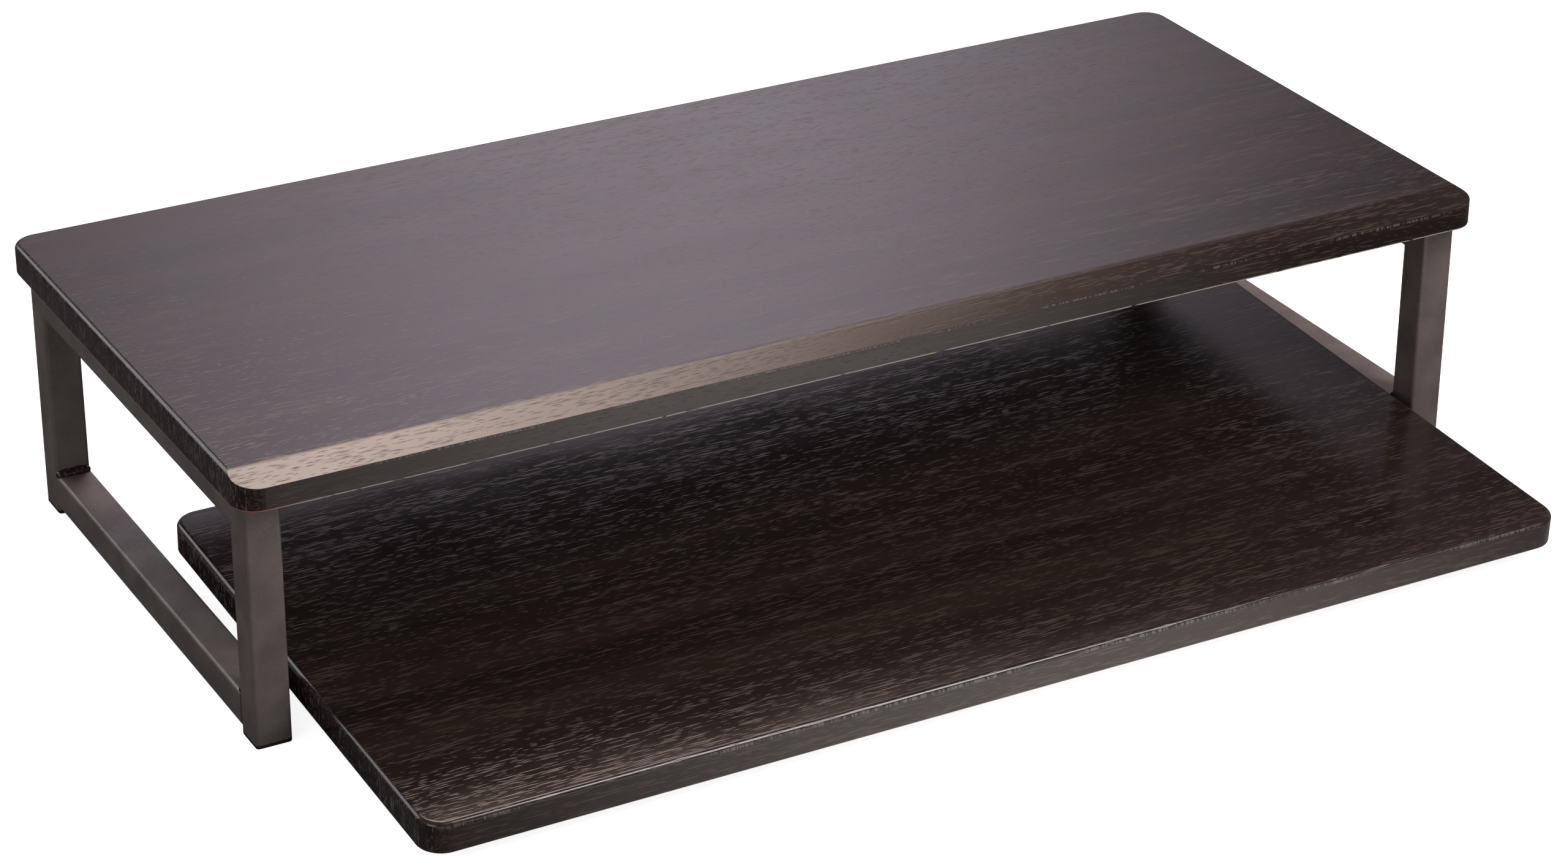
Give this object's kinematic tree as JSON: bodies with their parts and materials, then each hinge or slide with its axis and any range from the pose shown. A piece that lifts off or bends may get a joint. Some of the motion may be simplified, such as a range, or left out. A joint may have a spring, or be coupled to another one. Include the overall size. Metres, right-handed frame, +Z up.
{
  "type": "desk hutch",
  "caption": "Low desk hutch: a dark wood board on two welded square-tube side frames, with a wood keyboard tray that rolls out from under it.",
  "frame": {"origin": "on the desk, under the middle of the whole footprint with the tray at its rest place, pulled out 135 mm", "axes": "+X to the right and -Y to the front for someone sitting at the desk, +Z up"},
  "size_m": [0.75, 0.4716, 0.1585],
  "materials": {
    "dark_wood": "satin lacquer over open-pored espresso veneer",
    "powder_coat": "satin dark bronze metallic powder coat",
    "black_plastic": "fine matte",
    "grey_plastic": "moulded matte",
    "black_steel": "black oxide",
    "zinc_steel": "zinc plated",
    "brass": "machined"
  },
  "bodies": {
    "stand": {"front_left_foot_cap": "black_plastic", "front_left_leg": "powder_coat", "front_right_foot_cap": "black_plastic", "front_right_leg": "powder_coat", "left_lower_rail": "powder_coat", "left_threaded_inserts": "brass", "left_top_screws": "black_steel", "left_upper_rail": "powder_coat", "left_weld_beads": "powder_coat", "rear_left_foot_cap": "black_plastic", "rear_left_leg": "powder_coat", "rear_right_foot_cap": "black_plastic", "rear_right_leg": "powder_coat", "right_lower_rail": "powder_coat", "right_threaded_inserts": "brass", "right_top_screws": "black_steel", "right_upper_rail": "powder_coat", "right_weld_beads": "powder_coat", "top_board": "dark_wood"},
    "tray": {"tray_board": "dark_wood", "left_front_glide": "grey_plastic", "right_front_glide": "grey_plastic", "glide_nails": "zinc_steel", "left_roller_bracket": "zinc_steel", "right_roller_bracket": "zinc_steel", "left_bracket_screws": "zinc_steel", "right_bracket_screws": "zinc_steel", "left_roller_axle": "zinc_steel", "right_roller_axle": "zinc_steel"},
    "left_roller": {"left_roller": "grey_plastic"},
    "right_roller": {"right_roller": "grey_plastic"}
  },
  "joints": [
    {"name": "tray_slide", "type": "slide", "parent": "stand", "child": "tray", "axis": [0, -1, 0], "range_m": [-0.135, 0.15]},
    {"name": "left_roller_spin", "type": "hinge", "parent": "tray", "child": "left_roller", "pos_m": [-0.281, 0.06507, 0.0095], "axis": [1, 0, 0], "continuous": true},
    {"name": "right_roller_spin", "type": "hinge", "parent": "tray", "child": "right_roller", "pos_m": [0.281, 0.06507, 0.0095], "axis": [1, 0, 0], "continuous": true}
  ],
  "couplings": [
    {"joint": "left_roller_spin", "follows": "tray_slide", "rad_per_m": 105.26},
    {"joint": "right_roller_spin", "follows": "tray_slide", "rad_per_m": 105.26}
  ]
}
